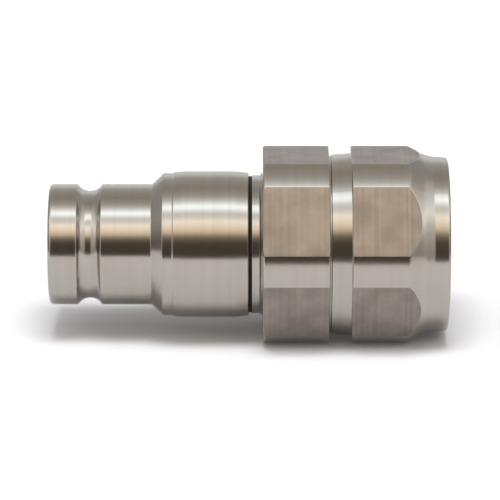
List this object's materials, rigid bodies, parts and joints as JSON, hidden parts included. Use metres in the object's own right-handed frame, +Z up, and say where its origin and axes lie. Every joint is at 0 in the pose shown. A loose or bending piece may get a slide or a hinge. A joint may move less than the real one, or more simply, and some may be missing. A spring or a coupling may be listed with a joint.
{
  "type": "flat face coupling plug",
  "caption": "Flat face hydraulic coupling plug: sprung flush valve in a nose with a lock groove, round barrel, grooved hexagon body for a spanner and a threaded hose port.",
  "frame": {"origin": "centre of the flat mating face at the end of the nose", "axes": "+X along the coupling axis from the mating face towards the hose port, +Z up across a pair of hexagon flats"},
  "size_m": [0.0988, 0.0492, 0.046],
  "materials": {
    "turned_steel": "turned and milled, nickel plated, satin",
    "valve_steel": "fine turned",
    "spring_steel": "drawn wire",
    "black_rubber": "moulded, satin",
    "white_plastic": "skived, matt",
    "bush_plastic": "filled bearing plastic, matt"
  },
  "bodies": {
    "body": {"nose_body": "turned_steel", "rear_body": "turned_steel", "joint_ring": "black_rubber", "valve_spring": "spring_steel", "valve_guide": "valve_steel", "stem_bush": "bush_plastic", "body_o_ring": "black_rubber", "body_backup_ring": "white_plastic"},
    "poppet": {"poppet": "valve_steel", "poppet_seal": "black_rubber", "poppet_backup_ring": "white_plastic", "stem_clip": "spring_steel"}
  },
  "joints": [
    {"name": "valve_slide", "type": "slide", "parent": "body", "child": "poppet", "axis": [1, 0, 0], "range_m": [0, 0.008], "stiffness_N_per_m": 5000, "springref_m": -0.004, "deforming": ["valve_spring"]}
  ]
}
